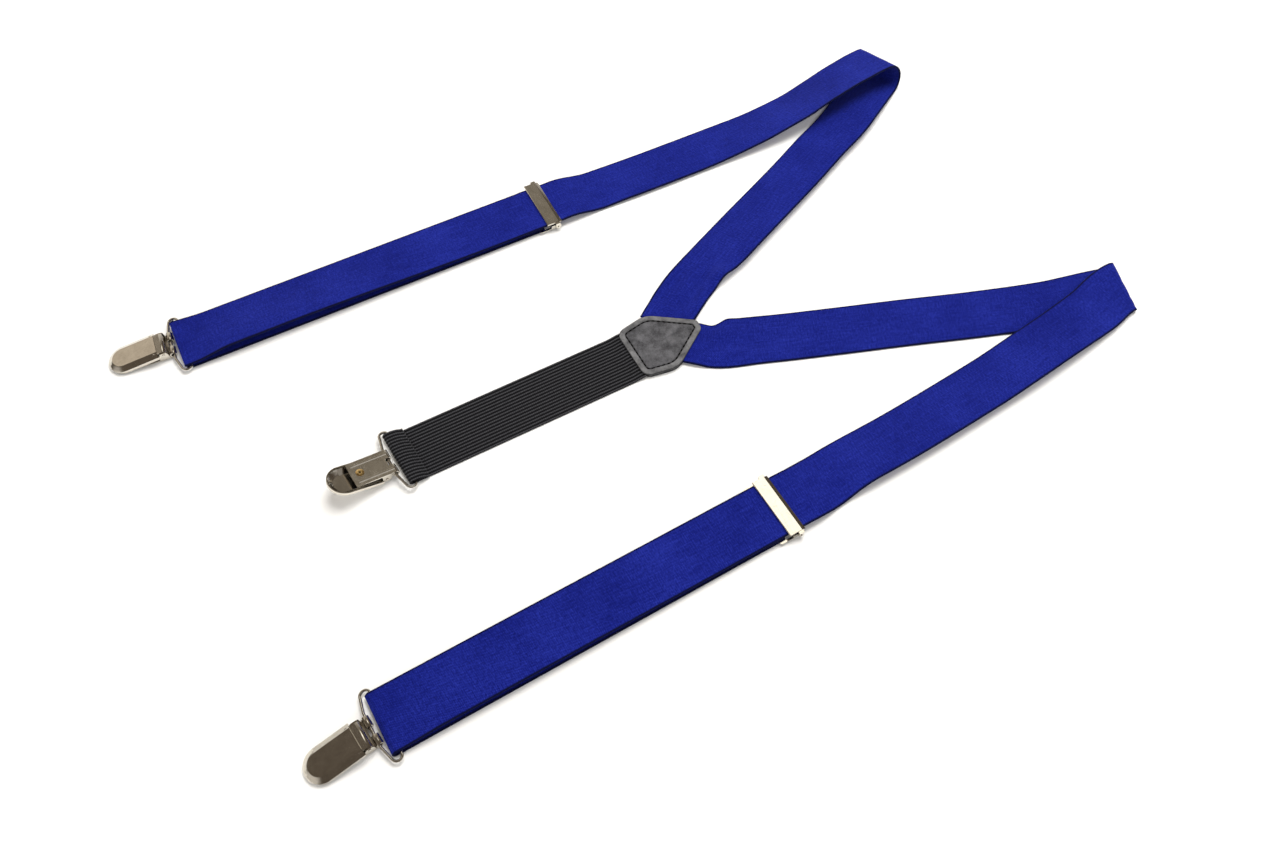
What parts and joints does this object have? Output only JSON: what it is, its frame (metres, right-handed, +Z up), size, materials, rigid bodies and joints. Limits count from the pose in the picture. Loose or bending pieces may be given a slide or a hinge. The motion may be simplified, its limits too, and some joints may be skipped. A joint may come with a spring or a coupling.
{
  "type": "suspenders",
  "caption": "Clip-on Y-back suspenders laid out flat: woven blue straps, black ribbed elastic and leather patch, strap adjusters, and metal cam clips.",
  "frame": {"origin": "centre of the leather patch on the surface it rests on", "axes": "+Y along the spine from the rear clip to the shoulder folds, +Z up, +X to the strap on the right"},
  "size_m": [0.3274, 0.5926, 0.015],
  "materials": {
    "webbing": "matte plain weave",
    "elastic": "matte, ribbed lengthwise",
    "leather": "satin, fine grain",
    "nickel": "bright nickel plate",
    "brass": "polished",
    "jaw_pad": "moulded",
    "spring_steel": "satin"
  },
  "bodies": {
    "root": {"patch_bottom": "leather", "patch_top": "leather", "elastic_strap": "elastic", "left_strap_back": "webbing", "left_strap_front": "webbing", "right_strap_back": "webbing", "right_strap_front": "webbing"},
    "left_adjuster": {"left_adjuster_frame": "nickel", "left_adjuster_pin": "nickel"},
    "left_adjuster_lever": {"left_adjuster_cover": "nickel"},
    "left_return": {"left_strap_return": "webbing"},
    "right_adjuster": {"right_adjuster_frame": "nickel", "right_adjuster_pin": "nickel"},
    "right_adjuster_lever": {"right_adjuster_cover": "nickel"},
    "right_return": {"right_strap_return": "webbing"},
    "left_wire": {"left_wire_loop": "nickel"},
    "left_clip": {"left_base_plate": "nickel", "left_pivot_pin": "nickel", "left_jaw_pad": "jaw_pad", "left_rivet": "brass", "left_spring_leaf": "spring_steel"},
    "left_clip_lever": {"left_lever": "nickel"},
    "right_wire": {"right_wire_loop": "nickel"},
    "right_clip": {"right_base_plate": "nickel", "right_pivot_pin": "nickel", "right_jaw_pad": "jaw_pad", "right_rivet": "brass", "right_spring_leaf": "spring_steel"},
    "right_clip_lever": {"right_lever": "nickel"},
    "rear_wire": {"rear_wire_loop": "nickel"},
    "rear_clip": {"rear_base_plate": "nickel", "rear_pivot_pin": "nickel", "rear_jaw_pad": "jaw_pad", "rear_rivet": "brass", "rear_spring_leaf": "spring_steel"},
    "rear_clip_lever": {"rear_lever": "nickel"}
  },
  "joints": [
    {"name": "left_adjuster_slide", "type": "slide", "parent": "root", "child": "left_adjuster", "axis": [0.0211, 0.9998, 0], "range_m": [-0.06, 0.03], "deforming": ["left_strap_front", "left_strap_return"]},
    {"name": "left_adjuster_lever_hinge", "type": "hinge", "parent": "left_adjuster", "child": "left_adjuster_lever", "pos_m": [-0.13546, -0.0117, 0.0029], "axis": [-0.9998, 0.0211, 0], "range_deg": [0, 60]},
    {"name": "left_return_slide", "type": "slide", "parent": "root", "child": "left_return", "axis": [0.0211, 0.9998, 0], "range_m": [-0.03, 0.015]},
    {"name": "right_adjuster_slide", "type": "slide", "parent": "root", "child": "right_adjuster", "axis": [-0.0304, 0.9995, 0], "range_m": [-0.06, 0.03], "deforming": ["right_strap_front", "right_strap_return"]},
    {"name": "right_adjuster_lever_hinge", "type": "hinge", "parent": "right_adjuster", "child": "right_adjuster_lever", "pos_m": [0.13345, 0.0053, 0.0029], "axis": [-0.9995, -0.0304, 0], "range_deg": [0, 60]},
    {"name": "right_return_slide", "type": "slide", "parent": "root", "child": "right_return", "axis": [-0.0304, 0.9995, 0], "range_m": [-0.03, 0.015]},
    {"name": "left_wire_hinge", "type": "hinge", "parent": "left_return", "child": "left_wire", "pos_m": [-0.142, -0.2592, 0.00265], "axis": [0.9986, -0.0523, 0], "range_deg": [-45, 45]},
    {"name": "left_clip_hinge", "type": "hinge", "parent": "left_wire", "child": "left_clip", "pos_m": [-0.1424, -0.26679, 0.00265], "axis": [0.9986, -0.0523, 0], "range_deg": [-30, 30]},
    {"name": "left_lever_hinge", "type": "hinge", "parent": "left_clip", "child": "left_clip_lever", "pos_m": [-0.14467, -0.27217, 0.0049], "axis": [-0.9945, 0.1045, 0], "range_deg": [0, 90]},
    {"name": "right_wire_hinge", "type": "hinge", "parent": "right_return", "child": "right_wire", "pos_m": [0.141, -0.2384, 0.00265], "axis": [0.9973, 0.0732, 0], "range_deg": [-45, 45]},
    {"name": "right_clip_hinge", "type": "hinge", "parent": "right_wire", "child": "right_clip", "pos_m": [0.14156, -0.24598, 0.00265], "axis": [0.9973, 0.0732, 0], "range_deg": [-30, 30]},
    {"name": "right_lever_hinge", "type": "hinge", "parent": "right_clip", "child": "right_clip_lever", "pos_m": [0.14273, -0.2514, 0.0049], "axis": [-0.9925, -0.1219, 0], "range_deg": [0, 90]},
    {"name": "rear_wire_hinge", "type": "hinge", "parent": "root", "child": "rear_wire", "pos_m": [0.0002, -0.1718, 0.00265], "axis": [0.9982, 0.0593, 0], "range_deg": [-45, 45]},
    {"name": "rear_clip_hinge", "type": "hinge", "parent": "rear_wire", "child": "rear_clip", "pos_m": [0.00064, -0.17922, 0.00423], "axis": [0.9982, 0.0593, 0], "range_deg": [-30, 30]},
    {"name": "rear_lever_hinge", "type": "hinge", "parent": "rear_clip", "child": "rear_clip_lever", "pos_m": [0.0014, -0.18501, 0.00327], "axis": [0.9968, 0.0797, -0.0044], "range_deg": [0, 90]}
  ],
  "couplings": [
    {"joint": "left_return_slide", "follows": "left_adjuster_slide", "ratio": 0.5},
    {"joint": "right_return_slide", "follows": "right_adjuster_slide", "ratio": 0.5}
  ]
}
